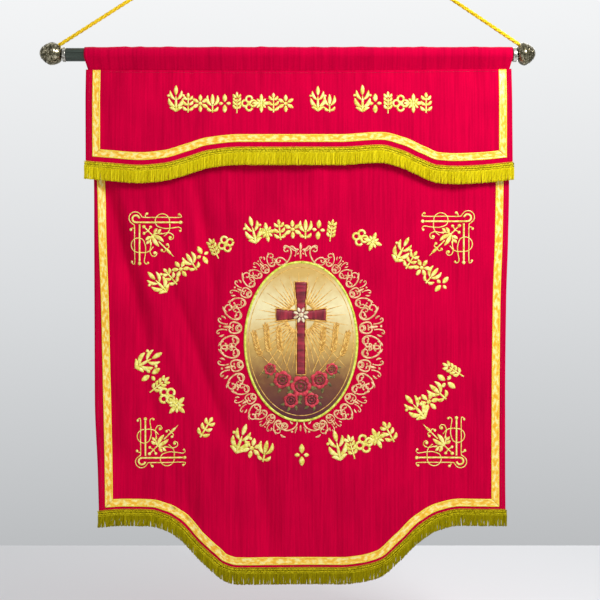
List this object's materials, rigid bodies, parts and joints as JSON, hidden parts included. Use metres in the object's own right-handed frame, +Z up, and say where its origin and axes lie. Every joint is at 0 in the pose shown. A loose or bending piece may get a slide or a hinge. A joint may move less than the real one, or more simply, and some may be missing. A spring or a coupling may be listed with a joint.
{
  "type": "church banner with rod and hanging cord",
  "caption": "Crimson processional banner with a fringed valance, gold ribbon edging and a central medallion, hung from a dark rod with ball finials by a twisted gold cord.",
  "frame": {"origin": "underside of the cord's top bend, where a hook carries the banner", "axes": "+Z up, -Y towards the viewer of the decorated face, +X to that viewer's right"},
  "size_m": [0.9342, 0.0432, 1.2974],
  "materials": {
    "crimson_cloth": "woven polyester with a faint vertical rib, matt with a soft sheen",
    "gold_ribbon": "satin ribbon, glossy, with woven edges",
    "gold_fringe": "looped viscose fringe with a braided heading",
    "gold_cord": "twisted three-strand cord",
    "embroidery": "raised satin stitch in pale gold rayon thread",
    "medallion_cloth": "cream and gold embroidered cloth",
    "dark_rod": "dark grey-green satin enamel on a round tube",
    "antique_metal": "cast brass with an antique dark patina, polished on the high rings"
  },
  "bodies": {
    "root": {"main_panel": "crimson_cloth", "valance": "crimson_cloth", "panel_ribbon": "gold_ribbon", "valance_ribbon": "gold_ribbon", "panel_fringe": "gold_fringe", "valance_fringe": "gold_fringe", "medallion": "medallion_cloth", "rod": "dark_rod", "collar_left": "antique_metal", "collar_right": "antique_metal", "finial_left": "antique_metal", "finial_right": "antique_metal", "hanging_cord": "gold_cord"}
  },
  "joints": []
}
